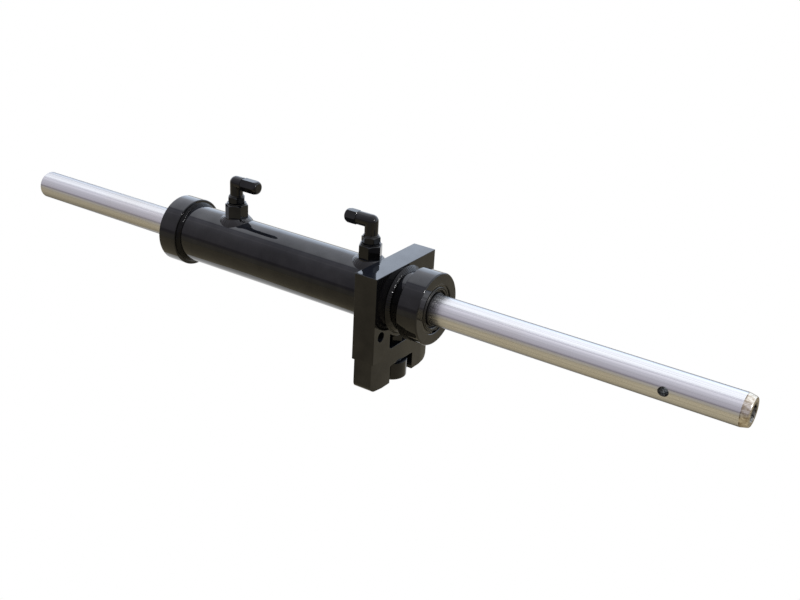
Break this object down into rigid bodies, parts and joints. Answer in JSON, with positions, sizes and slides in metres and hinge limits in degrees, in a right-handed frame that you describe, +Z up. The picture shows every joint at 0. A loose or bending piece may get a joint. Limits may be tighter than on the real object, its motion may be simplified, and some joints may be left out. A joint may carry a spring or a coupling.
{
  "type": "steering cylinder",
  "caption": "Double-rod hydraulic steering cylinder: chromed rod through a black welded body, elbow ports, plate bracket with bolt holes and a locating pin.",
  "frame": {"origin": "midway between the bracket's two bolt holes, on the bracket's front face", "axes": "+X along the cylinder and the bolt holes, away from the bracket's front face; +Z up, towards the ports; Y across the bracket"},
  "size_m": [1.125, 0.133, 0.213],
  "materials": {
    "gloss_black_paint": "gloss",
    "painted_weld": "gloss",
    "black_fitting": "satin",
    "rod_chrome": "polished",
    "gland_iron": "painted face, machined inside",
    "spring_steel": "satin",
    "seal_rubber": "matte",
    "guide_plastic": "matte",
    "piston_steel": "machined"
  },
  "bodies": {
    "cylinder": {"barrel": "gloss_black_paint", "collar_left": "gloss_black_paint", "collar_right": "gloss_black_paint", "collar_weld_left": "painted_weld", "collar_weld_right": "painted_weld", "mounting_bracket": "gloss_black_paint", "bracket_weld_front": "painted_weld", "bracket_weld_rear": "painted_weld", "locating_pin": "gloss_black_paint", "pin_bolt": "gloss_black_paint", "port_boss_left": "gloss_black_paint", "port_boss_right": "gloss_black_paint", "port_weld_left": "painted_weld", "port_weld_right": "painted_weld", "port_oring_left": "seal_rubber", "port_oring_right": "seal_rubber", "adapter_left": "black_fitting", "adapter_right": "black_fitting", "elbow_washer_left": "black_fitting", "elbow_washer_right": "black_fitting", "elbow_nut_left": "black_fitting", "elbow_nut_right": "black_fitting", "elbow_left": "black_fitting", "elbow_right": "black_fitting", "port_cap_left": "black_fitting", "port_cap_right": "black_fitting", "gland_left": "gland_iron", "gland_right": "gland_iron", "gland_oring_left": "seal_rubber", "gland_oring_right": "seal_rubber", "rod_seal_left": "seal_rubber", "rod_seal_right": "seal_rubber", "guide_ring_outer_left": "guide_plastic", "guide_ring_outer_right": "guide_plastic", "guide_ring_inner_left": "guide_plastic", "guide_ring_inner_right": "guide_plastic", "wiper_left": "seal_rubber", "wiper_right": "seal_rubber", "retaining_ring_left": "spring_steel", "retaining_ring_right": "spring_steel"},
    "piston_set": {"piston": "piston_steel", "piston_seal": "seal_rubber", "piston_oring": "seal_rubber", "piston_wear_ring_left": "guide_plastic", "piston_wear_ring_right": "guide_plastic"},
    "rod": {"rod": "rod_chrome", "lock_ring_left": "spring_steel", "lock_ring_right": "spring_steel"}
  },
  "joints": [
    {"name": "rod_slide", "type": "slide", "parent": "cylinder", "child": "piston_set", "axis": [1, 0, 0], "range_m": [-0.1505, 0.0295]},
    {"name": "rod_turn", "type": "hinge", "parent": "piston_set", "child": "rod", "pos_m": [-0.11, 0, 0.0345], "axis": [1, 0, 0], "continuous": true}
  ]
}
